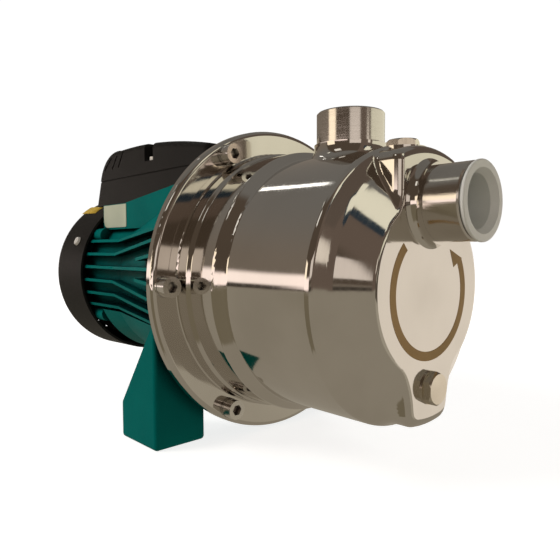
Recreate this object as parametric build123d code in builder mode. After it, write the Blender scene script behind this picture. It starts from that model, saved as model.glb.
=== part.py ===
from build123d import *
from math import copysign, cos, radians, sin, sqrt
import os

# Self-priming shallow well jet pump: a pressed stainless casing on a finned
# aluminium motor. Millimetres. +X points along the shaft to the suction port,
# +Z is up, and the origin is on the floor between the two feet.
# Lengths along the shaft are stations: "_x" values are places on the X axis.

# ---- driving dimensions -------------------------------------------------
shaft_height = 103.0          # shaft axis above the floor
flange_x = 41.0               # front plane of the casing flange
sheet = 1.5                   # pressed stainless sheet
fit_gap = 0.05                # play between pieces that only touch
running_gap = 0.4             # play between a turning and a fixed piece

# casing, measured from the flange plane along the shaft
bracket_radius = 96.5         # motor bracket that the flange sits on
flange_overhang = 2.5
flange_lip = 6.5              # rolled edge, turned back towards the motor
lip_round = 3.0
neck_radius = 83.0
neck_length = 9.5
neck_root = 1.0
band_radius = 81.3
band_start = 11.5
band_end = 32.0
drum_radius = 76.5
drum_start = 38.0
drum_end = 99.0
flank_radius = 66.5
flank_start = 102.5
nose_radius = 48.2
nose_length = 115.8
nose_round = 5.0
crest_width = 57.0            # raised crest that carries the suction port
crest_radius = 75.0
crest_corner = 6.0
crest_valley = 2.5
sump_width = 40.0             # lower bulge that carries the drain plug
sump_radius = 74.0
sump_corner = 10.0
sump_valley = 12.0
lobe_length = 40.0

# ports (G1) and plugs (G1/4)
port_radius = 20.0
port_bore = 15.15
port_chamfer = 0.8
outlet_offset = 60.8          # outlet axis from the flange plane
outlet_height = 100.7         # outlet mouth above the shaft
suction_height = 44.5         # suction axis above the shaft
suction_length = 25.7         # suction mouth in front of the nose
outlet_collar = (6.5, 12.0, 8.0)     # sunk below the drum top, height, spread
suction_collar = (0.0, 6.0, 2.2)
transit_rim = 1.8
transit_neck = 1.2             # groove between the port's end and the rim
transit_mouth = 16.3
transit_depth = 22.0
transit_wall = 1.2
plug_radius = 6.5
plug_hex = 16.0
drain_drop = 53.0             # drain axis below the shaft
drain_head = 4.6
drain_turn = 30.0             # how the hexagons are turned
filler_offset = 97.5          # filler axis from the flange plane
filler_head = 4.2
filler_turn = 19.0
plug_length = 12.0
plug_bevel = 1.2
bush_wall = 3.2
seal_washer = 0.8
seal_washer_width = 2.6
spot_margin = 1.5             # pressed flat round the filler plug

# casing fasteners
screw_inset = 5.25             # flange screws from the bracket's edge
screw_count = 6
screw_radius = 3.0
screw_head = 6.0
screw_head_height = 7.0
screw_socket = 6.0
screw_play = 0.3
washer_thickness = 1.5
rim_play = 0.7                # seal plate edge inside the bracket edge

# motor frame
bracket_depth = 10.5          # bracket back face behind the flange plane
frame_rear_x = -128.0
frame_bore = 52.0
barrel_radius = 57.0
barrel_front_radius = 82.1
fin_radius = 64.0
fin_front_radius = 90.2
fin_thickness = 2.2
flare_x = -77.0               # where the frame starts to widen
fin_rear_levels = (-23.5, -13.9, -3.6, 7.0, 17.2, 27.6)
fin_front_levels = (-25.4, -19.2, -11.4, 9.2, 29.3, 36.2)
short_fin_x = -17.0
short_fin_levels = ((0.8, -0.8), (14.5, 19.1))
skirt_x = -105.5              # rear end of the smooth lower half
skirt_level = -27.0
web_thickness = 8.0
lantern_radius = 60.0
lantern_depth = 10.5
plate_recess = 80.0
recess_wall = 4.5             # metal round the recess, behind the bracket
foot_front_x = 21.5
foot_length = 43.0
foot_outer = 87.0
foot_inner = 50.0
foot_height = 21.0
foot_plate = 10.0
foot_wall = 5.0
foot_hole = 4.5
foot_hole_spacing = 132.0
leg_top = 81.0
pad_half_width = 48.0
pad_front_half_width = 50.0
pad_rear_x = -121.5
pad_low = 37.0
pad_high = 57.0
pad_rise_x = -86.0
pad_front_high = 69.0
lug_radius = 6.0
lug_circle = 59.0
lug_angle = 33.0
lug_length = 15.0

# shaft and bearings
rotor_seat = 10.0
front_journal = 8.5
wet_shaft = 7.0
thread_radius = 5.0
rear_journal = 7.5
fan_seat = 6.0
front_bearing_radius = 20.0
front_bearing_width = 12.0
rear_bearing_radius = 17.5
rear_bearing_width = 11.0
bearing_ball_count = 8
bearing_lip = 3.0

# motor
stator_front_x = -18.0
stator_length = 56.0
stator_bore = 28.1
rotor_radius = 27.6
slot_count = 24
winding_length = 16.0
winding_inner = 33.0
winding_outer = 45.0
cage_ring_length = 8.0
shield_thickness = 6.0

# fan and cover
fan_radius = 58.0
fan_width = 14.0
fan_disc = 2.0
blade_count = 8
cover_front_x = -125.0
cover_rear_x = -177.0
cover_front_radius = 67.5
cover_rear_radius = 68.5
cover_wall = 2.0
cover_round = 10.0
cover_screw_x = -141.0
cover_screw_angles = (24.0, 156.0, 270.0)
cover_screw_radius = 2.0
grille_slot = 3.4
grille_outer = (43.5, 25.0, 32)      # ring radius, slot length, count
grille_inner = (20.0, 14.0, 14)

# wet end
plate_dish = 12.8              # depth of the seal plate behind its rim
seal_cup_depth = 8.0
seal_cup_radius = 14.0
seal_face_radius = 11.0
seal_length = 16.0
o_ring_section = 2.0
impeller_radius = 62.0
impeller_width = 14.0
impeller_disc = 2.2
impeller_eye = 15.0
impeller_vanes = 6
diffuser_radius = 76.0
diffuser_wall = 3.0
diffuser_vanes = 9
diffuser_neck = 11.0
venturi_length = 46.0
venturi_throat = 7.0
venturi_exit = 13.0
ejector_radius = 26.0
ejector_wall = 3.0
ejector_length = 39.0
ejector_spigot = 19.0
nozzle_length = 28.0
nozzle_tip = 5.0

# terminal box, heights measured from the shaft
box_half_width = 45.0
box_rear_x = -142.0
box_seam_rear_x = -135.0
box_front_x = 20.0
box_floor = 57.0
box_seam = 77.4
box_wall = 2.5
box_corner = 4.5
box_edge = 4.2
box_arch_x = -122.0           # behind here the floor arches over the fan cover
box_arch_radius = 69.3
lid_shoulder = (-124.5, 94.0)
lid_crown = (-100.0, 100.2)
lid_middle = (-50.0, 99.5)
lid_front = 89.9
gasket = 1.0
lid_screw_x = -53.0
lid_screw_y = 39.5
lid_screw_radius = 2.0
lid_screw_head = 4.0
lid_screw_level = 86.5        # height of the screw ledge
lid_pocket = 12.0
lid_post = 5.0
lid_grooves = (
    ((-124.0, 86.0), (-112.0, 95.0)),
    ((-111.0, 86.0), (-102.0, 96.0)),
    ((-100.5, 86.5), (-92.0, 98.0)),
)
groove = 1.3
box_screw_x = -100.0
box_screw_y = 35.0
box_screw_radius = 2.5
box_screw_head = 4.5
wiring_x = -106.0
wiring_radius = 7.0
gland_x = -112.0
gland_height = 68.2
gland_radius = 6.4
gland_hex = 19.0
gland_nut_hex = 16.6
gland_cap_radius = 10.5
gland_bore = 4.2
gland_socket = 5.2
cable_radius = 3.5
terminal_block_size = (12.0, 50.0, 14.0)
capacitor_radius = 12.0
capacitor_length = 56.0
capacitor_front_x = -16.0
capacitor_level = 80.3
plate_thickness = 0.3
rating_rear_x = -120.5
rating_front_x = -83.0
rating_low = 38.5             # heights of the rating plate above the shaft
rating_high = 56.5

# ---- places that follow from them ---------------------------------------
shaft_axis = Axis((0, 0, shaft_height), (1, 0, 0))
section = Plane(origin=(0, 0, shaft_height), x_dir=(1, 0, 0), z_dir=(0, -1, 0))
casing_flange_radius = bracket_radius + flange_overhang
screw_circle = bracket_radius - screw_inset
plate_rim = bracket_radius - rim_play
tie_radius = 2.5                 # screws through the end shield into the lugs
tie_head = 4.5
tie_head_height = 3.5
tie_grip = 10.0
lug_floor = 4.0                  # solid end of a lug behind the screw
lug_angles = (lug_angle, -lug_angle, 180 - lug_angle, 180 + lug_angle)
nose_x = flange_x + nose_length
outlet_x = flange_x + outlet_offset
filler_x = flange_x + filler_offset
bracket_front_x = flange_x - 2 * sheet
bracket_back_x = flange_x - bracket_depth
plate_front_x = flange_x - sheet
foot_rear_x = foot_front_x - foot_length
foot_center_x = (foot_front_x + foot_rear_x) / 2
plate_back_x = bracket_front_x - plate_dish
lantern_gap = 0.5                # between the lantern and the seal plate
lantern_x = plate_back_x - lantern_gap - lantern_depth
web_back_x = lantern_x - web_thickness
bearing_x = web_back_x - 1.0              # front face of the front bearing
front_bearing_back_x = bearing_x - front_bearing_width
seal_cup_x = plate_back_x - seal_cup_depth + sheet
seal_face_x = plate_back_x + sheet + 1.0  # where the two seal faces meet
impeller_x = seal_face_x + seal_length    # back face of the impeller hub
impeller_disc_x = impeller_x + 2.0
impeller_front_x = impeller_disc_x + impeller_width
diffuser_front_x = impeller_front_x + 2.5
hub_length = 14.0
shaft_thread_x = impeller_x + hub_length
shaft_thread_length = 10.0
shaft_front_x = shaft_thread_x + shaft_thread_length
stator_rear_x = stator_front_x - stator_length
rear_bearing_x = frame_rear_x + rear_bearing_width
shield_back_x = frame_rear_x - shield_thickness
fan_x = cover_screw_x - 7.0
fan_back_x = fan_x - fan_width
shaft_rear_x = fan_back_x - 4.0

os.makedirs("parts", exist_ok=True)


def save(part, name):
    """Label a finished piece and write it to its own file."""
    part.label = name
    export_step(part, f"parts/{name}.step")


def ring(x_low, x_high, r_low, r_high):
    """Section of a turned ring, drawn in the sketch that is open."""
    with Locations(((x_low + x_high) / 2, (r_low + r_high) / 2)):
        Rectangle(x_high - x_low, r_high - r_low)


def turned(*rings):
    """Solid turned about the shaft from rings (x_low, x_high, r_low, r_high)."""
    with BuildPart() as body:
        with BuildSketch(section):
            for values in rings:
                ring(*values)
        revolve(axis=shaft_axis)
    return body.part


def turned_outline(points):
    """Solid turned about the shaft from one closed outline of (x, r) points."""
    with BuildPart() as body:
        with BuildSketch(section):
            with BuildLine():
                Polyline(*points, close=True)
            make_face()
        revolve(axis=shaft_axis)
    return body.part


def around_shaft(x, radius, angle):
    """Plane at a place around the shaft, facing +X; angle 0 is towards -Y."""
    y = -radius * cos(radians(angle))
    z = shaft_height + radius * sin(radians(angle))
    return Plane(origin=(x, y, z), x_dir=(0, 1, 0), z_dir=(1, 0, 0))


def outward(radius, x, angle):
    """Plane on the shaft's side at a radius, facing away from the shaft."""
    y, z = -cos(radians(angle)), sin(radians(angle))
    return Plane(
        origin=(x, radius * y, shaft_height + radius * z), x_dir=(1, 0, 0), z_dir=(0, y, z)
    )


# ---- casing ---------------------------------------------------------------
def nearest(sketch, x, r):
    """The sketch corner closest to a section point."""
    return sketch.vertices().sort_by_distance((x, r, 0))[0]


def shaft_distance(point):
    """Distance of a point from the shaft axis."""
    return sqrt(point.Y**2 + (point.Z - shaft_height) ** 2)


def casing_envelope(inset):
    """The casing's outer form, drawn in by inset on every side."""
    corners = [
        (0.0, casing_flange_radius, lip_round),
        (0.0, neck_radius, neck_root),
        (neck_length, neck_radius, 1.8),
        (band_start, band_radius, 2.0),
        (band_end, band_radius, 3.0),
        (drum_start, drum_radius, 3.0),
        (drum_end, drum_radius, 3.5),
        (flank_start, flank_radius, 14.0),
    ]
    below_axis = -10.0
    with BuildSketch(section) as outline:
        with BuildLine():
            Polyline(
                (flange_x - 2 * flange_lip, below_axis),
                (flange_x - 2 * flange_lip, casing_flange_radius),
                *[(flange_x + x, r) for x, r, _ in corners],
                (nose_x, nose_radius),
                (nose_x, below_axis),
                close=True,
            )
        make_face()
        for x, r, blend in corners:
            fillet(nearest(outline, flange_x + x, r), blend)
        if inset:
            offset(amount=-inset, mode=Mode.REPLACE)
        open_x = flange_x - flange_lip - inset
        with Locations((open_x + nose_length, casing_flange_radius)):
            Rectangle(2 * nose_length, 2 * casing_flange_radius, mode=Mode.INTERSECT)
    with BuildPart() as form:
        add(outline.sketch)
        revolve(axis=shaft_axis)
        with BuildSketch(Plane.YZ.offset(nose_x - inset)) as crest:
            with Locations((0, shaft_height)):
                Circle(crest_radius - inset)
            with Locations((0, shaft_height + drum_radius / 2)):
                Rectangle(crest_width - 2 * inset, drum_radius, mode=Mode.INTERSECT)
            fillet(crest.vertices().group_by(Axis.Y)[-1], crest_corner - inset)
        extrude(amount=-lobe_length)
        with BuildSketch(Plane.YZ.offset(nose_x - inset)) as sump:
            with Locations((0, shaft_height)):
                Circle(sump_radius - inset)
            with Locations((0, shaft_height - drum_radius / 2)):
                Rectangle(sump_width - 2 * inset, drum_radius, mode=Mode.INTERSECT)
            fillet(sump.vertices().group_by(Axis.Y)[0], sump_corner - inset)
        extrude(amount=-lobe_length)
        for half, side, blend in (
            (1, crest_width / 2 - inset, crest_valley),
            (-1, sump_width / 2 - inset, sump_valley),
        ):
            valley = [
                edge
                for edge in form.edges()
                if edge.geom_type not in (GeomType.LINE, GeomType.CIRCLE)
                and half * (edge.center().Z - shaft_height) > 0
                and abs(abs(edge.center().Y) - side) < sheet / 4
                and shaft_distance(edge.center()) < flank_radius - inset + 0.5
            ]
            fillet(valley, blend + inset)
        nose = form.faces().filter_by(Axis.X).sort_by(Axis.X)[-1]
        fillet(nose.edges(), nose_round - inset)
    return form.part


def port_plane(x, y, z, direction):
    """Plane at a port or plug, facing out of the casing."""
    return Plane(origin=(x, y, shaft_height + z), x_dir=(0, 1, 0), z_dir=direction)


outlet_base = port_plane(outlet_x, 0, drum_radius, (0, 0, 1))
suction_base = port_plane(nose_x, 0, suction_height, (1, 0, 0))
filler_base = port_plane(filler_x, 0, crest_radius, (0, 0, 1))
drain_base = port_plane(nose_x, 0, -drain_drop, (1, 0, 0))
screw_angles = [360 * k / screw_count for k in range(screw_count)]
bush_radius = plug_radius + bush_wall
bush_length = plug_length - seal_washer
spot_radius = bush_radius + spot_margin


def port_collar(base, sunk, height, spread):
    """Flared neck round a port, from below the casing's skin up to the port's side."""
    side, foot = port_radius + sheet, port_radius + sheet + spread
    across = Plane(origin=base.origin, x_dir=base.x_dir, z_dir=base.x_dir.cross(base.z_dir))
    flare = (side + 0.3 * spread, 0.3 * height - sunk)
    with BuildPart() as collar:
        with BuildSketch(across):
            with BuildLine():
                Line((0, height - sunk), (0, -sunk))
                Line((0, -sunk), (foot, -sunk))
                ThreePointArc((foot, -sunk), flare, (side, height - sunk))
                Line((side, height - sunk), (0, height - sunk))
            make_face()
        revolve(axis=Axis(base.origin, base.z_dir))
    return collar.part


with BuildPart() as pump_body:
    add(casing_envelope(0))
    add(port_collar(outlet_base, *outlet_collar))
    add(port_collar(suction_base, *suction_collar))
    add(casing_envelope(sheet), mode=Mode.SUBTRACT)
    with BuildSketch(filler_base.offset(sheet / 2)):
        Circle(spot_radius + sheet)
    extrude(amount=-1.5 * sheet)
    for base in (filler_base, drain_base):
        with BuildSketch(base):
            Circle(bush_radius)
        extrude(amount=-bush_length)
        with BuildSketch(base):
            Circle(plug_radius + fit_gap)
        extrude(amount=-2 * bush_length, mode=Mode.SUBTRACT)
    with BuildSketch(filler_base):
        Circle(spot_radius)
    extrude(amount=2 * sheet, mode=Mode.SUBTRACT)
    for base, (sunk, height, spread) in ((outlet_base, outlet_collar), (suction_base, suction_collar)):
        with BuildSketch(base.offset(height - sunk)):
            Circle(port_radius + fit_gap)
        extrude(amount=-height - 4 * sheet, mode=Mode.SUBTRACT)
    for angle in screw_angles:
        with BuildSketch(around_shaft(flange_x, screw_circle, angle)):
            Circle(screw_radius + screw_play)
        extrude(amount=-2 * sheet, mode=Mode.SUBTRACT)
save(pump_body.part, "pump_body")

# ---- ports, plugs and flange screws ---------------------------------------
with BuildPart() as outlet_port:
    with BuildSketch(outlet_base.offset(outlet_height - drum_radius)):
        Circle(port_radius)
        Circle(port_bore, mode=Mode.SUBTRACT)
    extrude(amount=drum_radius - 3 * sheet - outlet_height)
    chamfer(outlet_port.faces().sort_by(Axis.Z)[-1].edges(), port_chamfer)
save(outlet_port.part, "outlet_port")

with BuildPart() as suction_port:
    with BuildSketch(suction_base.offset(-sheet)):
        Circle(port_radius)
        Circle(port_bore, mode=Mode.SUBTRACT)
    extrude(amount=suction_length + sheet)
    chamfer(suction_port.faces().sort_by(Axis.X)[-1].edges(), port_chamfer)
save(suction_port.part, "suction_port")

cup_radius = port_bore - 2 * fit_gap
transit_seat = suction_base.offset(suction_length + fit_gap)
transit_front = transit_seat.offset(transit_neck + transit_rim)
with BuildPart() as suction_plug:
    with BuildSketch(transit_seat.offset(transit_neck)):
        Circle(port_radius + 0.3)
    extrude(amount=transit_rim)
    fillet(suction_plug.edges().filter_by(GeomType.CIRCLE), 0.7)
    with BuildSketch(transit_seat):
        Circle(port_radius - 1.3)
    extrude(amount=transit_neck)
    with BuildSketch(transit_seat):
        Circle(cup_radius)
    extrude(amount=-transit_depth)
    with BuildSketch(transit_front):
        Circle(cup_radius - transit_wall)
    extrude(amount=-transit_depth - transit_rim, mode=Mode.SUBTRACT)
    with BuildSketch(transit_front):
        Circle(transit_mouth)
    with BuildSketch(transit_front.offset(-2 * transit_rim)):
        Circle(cup_radius - transit_wall)
    loft(mode=Mode.SUBTRACT)
save(suction_plug.part, "suction_plug")


def hex_plug(base, head, turn):
    """Hex plug screwed into a bush: head above its sealing washer, shank below."""
    seat = base.offset(seal_washer + fit_gap)
    with BuildPart() as plug:
        with BuildSketch(seat.offset(head - plug_bevel)):
            Circle(plug_hex / sqrt(3))
        extrude(amount=plug_bevel, taper=45)
        with BuildSketch(seat):
            Circle(plug_hex / sqrt(3))
        extrude(amount=head - plug_bevel)
        with BuildSketch(seat):
            RegularPolygon(plug_hex / 2, 6, major_radius=False, rotation=turn)
        extrude(amount=head, mode=Mode.INTERSECT)
        with BuildSketch(seat):
            Circle(plug_radius)
        extrude(amount=-plug_length)
    return plug.part


def sealing_washer(base):
    """Flat ring between a plug's head and the casing."""
    with BuildPart() as washer:
        with BuildSketch(base):
            Circle(plug_radius + seal_washer_width)
            Circle(plug_radius + fit_gap, mode=Mode.SUBTRACT)
        extrude(amount=seal_washer)
    return washer.part


save(hex_plug(filler_base, filler_head, filler_turn), "filler_plug")
save(sealing_washer(filler_base), "filler_washer")
save(hex_plug(drain_base, drain_head, drain_turn), "drain_plug")
save(sealing_washer(drain_base), "drain_washer")

screw_end_x = bracket_back_x + 1.0
with BuildPart() as flange_screws:
    for angle in screw_angles:
        head_plane = around_shaft(flange_x + washer_thickness, screw_circle, angle)
        with BuildSketch(head_plane):
            Circle(screw_head)
        extrude(amount=screw_head_height)
        with BuildSketch(head_plane):
            Circle(screw_radius)
        extrude(amount=screw_end_x - flange_x - washer_thickness)
        with BuildSketch(head_plane.offset(screw_head_height)):
            RegularPolygon(screw_socket / 2, 6, major_radius=False)
        extrude(amount=-screw_head_height / 2, mode=Mode.SUBTRACT)
save(flange_screws.part, "flange_screws")

with BuildPart() as flange_washers:
    for angle in screw_angles:
        with BuildSketch(around_shaft(flange_x, screw_circle, angle)):
            Circle(screw_head + 0.25)
            Circle(screw_radius + screw_play, mode=Mode.SUBTRACT)
        extrude(amount=washer_thickness)
save(flange_washers.part, "flange_washers")


# ---- motor frame ------------------------------------------------------------
def fin_band(points):
    """Side view of one fin: the outline of a band along (x, height) points."""
    upper = [(x, z + fin_thickness / 2) for x, z in points]
    lower = [(x, z - fin_thickness / 2) for x, z in reversed(points)]
    return upper + lower


fin_paths = [
    [(frame_rear_x, rear), (flare_x, rear), (bracket_back_x, front)]
    for rear, front in zip(fin_rear_levels, fin_front_levels)
]
fin_paths += [[(short_fin_x, rear), (bracket_back_x, front)] for rear, front in short_fin_levels]

with BuildPart() as finned_sides:
    with BuildSketch(section):
        for path in fin_paths:
            with BuildLine():
                Polyline(*fin_band(path), close=True)
            make_face()
    extrude(amount=bracket_radius, both=True)
    with BuildSketch(Plane.XY.offset(shaft_height + skirt_level)):
        with Locations(((skirt_x + bracket_back_x) / 2, 0)):
            Rectangle(bracket_back_x - skirt_x, 2 * bracket_radius)
    extrude(amount=-bracket_radius)
    fin_envelope = turned_outline(
        [
            (frame_rear_x, 0),
            (frame_rear_x, fin_radius),
            (flare_x, fin_radius),
            (bracket_back_x, fin_front_radius),
            (bracket_back_x, 0),
        ]
    )
    add(fin_envelope, mode=Mode.INTERSECT)

with BuildPart() as box_pad:
    with BuildSketch(section):
        with BuildLine():
            Polyline(
                (pad_rear_x, pad_low),
                (pad_rear_x, pad_high),
                (pad_rise_x, pad_high),
                (box_front_x, pad_front_high),
                (bracket_back_x, pad_front_high),
                (bracket_back_x, pad_low),
                close=True,
            )
        make_face()
    extrude(amount=bracket_radius, both=True)
    with BuildSketch(Plane.XY.offset(shaft_height)):
        with BuildLine():
            Polyline(
                (pad_rear_x, -pad_half_width),
                (flare_x, -pad_half_width),
                (bracket_back_x, -pad_front_half_width),
                (bracket_back_x, pad_front_half_width),
                (flare_x, pad_half_width),
                (pad_rear_x, pad_half_width),
                close=True,
            )
        make_face()
    extrude(amount=bracket_radius, mode=Mode.INTERSECT)
    add(turned((pad_rear_x, bracket_back_x, 0, bracket_radius - 1.0)), mode=Mode.INTERSECT)

foot_center_y = foot_hole_spacing / 2
with BuildPart() as leg:
    with BuildSketch(section.offset(foot_inner)):
        with BuildLine():
            Polyline(
                (foot_front_x, -shaft_height),
                (foot_rear_x, -shaft_height),
                (foot_rear_x, foot_height - shaft_height),
                (foot_front_x, leg_top - shaft_height),
                close=True,
            )
        make_face()
    extrude(amount=foot_outer - foot_inner)
    fillet(leg.edges().filter_by(Axis.Z), 2.5)
    fillet(leg.faces().sort_by(Axis.Z)[0].edges(), 2.4)
    with BuildSketch(Plane.XY.offset(foot_plate)):
        with Locations((foot_center_x, -foot_inner)):
            Rectangle(foot_length - 2 * foot_wall, 2 * (foot_outer - foot_inner - foot_wall))
    extrude(amount=foot_height, mode=Mode.SUBTRACT)

with BuildPart() as motor_frame:
    add(finned_sides.part)
    with BuildSketch(section):
        with BuildLine():
            Polyline(
                (frame_rear_x, 0),
                (frame_rear_x, barrel_radius),
                (flare_x, barrel_radius),
                (bracket_back_x, barrel_front_radius),
                (bracket_back_x, bracket_radius),
                (bracket_front_x, bracket_radius),
                (bracket_front_x, 0),
                close=True,
            )
        make_face()
    revolve(axis=shaft_axis)
    with BuildSketch(section):
        with BuildLine():
            Polyline(
                (pad_rear_x, pad_high),
                (pad_rise_x, pad_high),
                (box_front_x, pad_front_high),
                (box_front_x, bracket_radius),
                (pad_rear_x, bracket_radius),
                close=True,
            )
        make_face()
    extrude(amount=bracket_radius, both=True, mode=Mode.SUBTRACT)
    add(box_pad.part)
    add(leg.part)
    add(mirror(leg.part, about=Plane.XZ, mode=Mode.PRIVATE))
    with BuildSketch(section):
        ring(plate_back_x - recess_wall, bracket_back_x, 0, plate_recess + recess_wall)
    revolve(axis=shaft_axis)
    for side in lug_angles:
        with BuildSketch(around_shaft(frame_rear_x, lug_circle, side)):
            Circle(lug_radius)
        extrude(amount=lug_length)
    with BuildSketch(section):
        ring(frame_rear_x, web_back_x, 0, frame_bore)
    revolve(axis=shaft_axis, mode=Mode.SUBTRACT)
    with BuildSketch(section):
        ring(front_bearing_back_x, lantern_x, 0, front_bearing_radius + 8.0)
    revolve(axis=shaft_axis)
    with BuildSketch(section):
        ring(front_bearing_back_x, bearing_x, 0, front_bearing_radius)
        ring(bearing_x, lantern_x, 0, front_journal + bearing_lip)
        ring(lantern_x, bracket_front_x, 0, lantern_radius)
        ring(plate_back_x - lantern_gap, bracket_front_x, 0, plate_recess)
    revolve(axis=shaft_axis, mode=Mode.SUBTRACT)
    for angle in screw_angles:
        with BuildSketch(around_shaft(bracket_front_x, screw_circle, angle)):
            Circle(screw_radius)
        extrude(amount=screw_end_x - bracket_front_x, mode=Mode.SUBTRACT)
    for side in lug_angles:
        with BuildSketch(around_shaft(frame_rear_x, lug_circle, side)):
            Circle(tie_radius)
        extrude(amount=lug_length - lug_floor, mode=Mode.SUBTRACT)
    with BuildSketch(Plane.XY):
        with Locations((foot_center_x, foot_center_y), (foot_center_x, -foot_center_y)):
            Circle(foot_hole)
    extrude(amount=foot_plate + foot_wall, mode=Mode.SUBTRACT)
    with BuildSketch(Plane.XY.offset(shaft_height + frame_bore - 8.0)):
        with Locations((box_screw_x, box_screw_y), (box_screw_x, -box_screw_y)):
            Circle(box_screw_radius)
        with Locations((wiring_x, 0)):
            Circle(wiring_radius)
    extrude(amount=pad_front_high, mode=Mode.SUBTRACT)
    drip_x = (lantern_x + plate_back_x) / 2
    with BuildSketch(Plane.XY.offset(shaft_height - lantern_radius / 2)):
        with Locations((drip_x - 1.0, 0)):
            Rectangle(lantern_depth - 4.0, 12.0)
    extrude(amount=-shaft_height, mode=Mode.SUBTRACT)
save(motor_frame.part, "motor_frame")

# ---- shaft, bearings and motor ----------------------------------------------
key_length = 8.0
key_width = 4.0
key_x = impeller_x + 2.0
with BuildPart() as shaft:
    add(
        turned(
            (shaft_rear_x, frame_rear_x, 0, fan_seat),
            (frame_rear_x, rear_bearing_x, 0, rear_journal),
            (rear_bearing_x, front_bearing_back_x, 0, rotor_seat),
            (front_bearing_back_x, lantern_x, 0, front_journal),
            (lantern_x, shaft_thread_x, 0, wet_shaft),
            (shaft_thread_x, shaft_front_x, 0, thread_radius),
        )
    )
    chamfer(shaft.faces().sort_by(Axis.X)[-1].edges(), 1.0)
    chamfer(shaft.faces().sort_by(Axis.X)[0].edges(), 1.0)
    with BuildSketch(Plane.XY.offset(shaft_height + wet_shaft - key_width / 2)):
        with Locations((key_x + key_length / 2, 0)):
            Rectangle(key_length, key_width)
    extrude(amount=key_width, mode=Mode.SUBTRACT)
save(shaft.part, "shaft")

with BuildPart() as impeller_key:
    with BuildSketch(Plane.XY.offset(shaft_height + wet_shaft - key_width / 2)):
        with Locations((key_x + key_length / 2, 0)):
            Rectangle(key_length, key_width)
    extrude(amount=key_width)
save(impeller_key.part, "impeller_key")


def ball_bearing(name, x, width, bore, outside):
    """Deep groove ball bearing: two races and a ring of balls, as three pieces."""
    pitch = (bore + outside) / 2
    ball = (outside - bore) * 0.3
    race = ball * 0.55
    track = Torus(pitch, ball + fit_gap, rotation=(0, 90, 0))
    placed_track = Pos(x + width / 2, 0, shaft_height) * track
    with BuildPart() as outer:
        add(turned((x, x + width, pitch + race, outside)))
        add(placed_track, mode=Mode.SUBTRACT)
    save(outer.part, f"{name}_outer_race")
    with BuildPart() as inner:
        add(turned((x, x + width, bore, pitch - race)))
        add(placed_track, mode=Mode.SUBTRACT)
    save(inner.part, f"{name}_inner_race")
    with BuildPart() as balls:
        for k in range(bearing_ball_count):
            with Locations(around_shaft(x + width / 2, pitch, 360 * k / bearing_ball_count)):
                Sphere(ball)
    save(balls.part, f"{name}_balls")


ball_bearing(
    "front_bearing", front_bearing_back_x, front_bearing_width, front_journal, front_bearing_radius
)
ball_bearing(
    "rear_bearing", frame_rear_x, rear_bearing_width, rear_journal, rear_bearing_radius
)

wave_washer_thickness = 1.0
save(
    turned(
        (frame_rear_x - wave_washer_thickness, frame_rear_x, rear_bearing_radius - 4.0, rear_bearing_radius)
    ),
    "wave_washer",
)

slot_depth = 12.0
slot_width = 3.6
slot_radius = stator_bore + 1.6 + slot_depth / 2
with BuildPart() as stator_core:
    add(turned((stator_rear_x, stator_front_x, stator_bore, frame_bore)))
    with BuildSketch(Plane.YZ.offset(stator_rear_x)):
        with Locations((0, shaft_height)):
            with PolarLocations(slot_radius, slot_count):
                Rectangle(slot_depth, slot_width)
            with PolarLocations(stator_bore, slot_count):
                Rectangle(4.0, slot_width / 2)
    extrude(amount=stator_length, mode=Mode.SUBTRACT)
save(stator_core.part, "stator_core")

with BuildPart() as stator_windings:
    with BuildSketch(Plane.YZ.offset(stator_rear_x - winding_length)):
        with Locations((0, shaft_height)):
            Circle(winding_outer)
            Circle(winding_inner, mode=Mode.SUBTRACT)
    extrude(amount=winding_length - fit_gap)
    with BuildSketch(Plane.YZ.offset(stator_front_x + fit_gap)):
        with Locations((0, shaft_height)):
            Circle(winding_outer)
            Circle(winding_inner, mode=Mode.SUBTRACT)
    extrude(amount=winding_length)
    fillet(stator_windings.edges().filter_by(GeomType.CIRCLE), 4.0)
    with BuildSketch(Plane.YZ.offset(stator_rear_x - winding_length / 2)):
        with Locations((0, shaft_height)):
            with PolarLocations(slot_radius, slot_count):
                Rectangle(slot_depth - 4 * fit_gap, slot_width - 4 * fit_gap)
    extrude(amount=stator_length + winding_length)
save(stator_windings.part, "stator_windings")

save(
    turned(
        (stator_rear_x, stator_front_x, rotor_seat, rotor_radius),
        (stator_rear_x - cage_ring_length, stator_rear_x, rotor_radius * 0.6, rotor_radius - 2.0),
        (stator_front_x, stator_front_x + cage_ring_length, rotor_radius * 0.6, rotor_radius - 2.0),
    ),
    "rotor_core",
)

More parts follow.
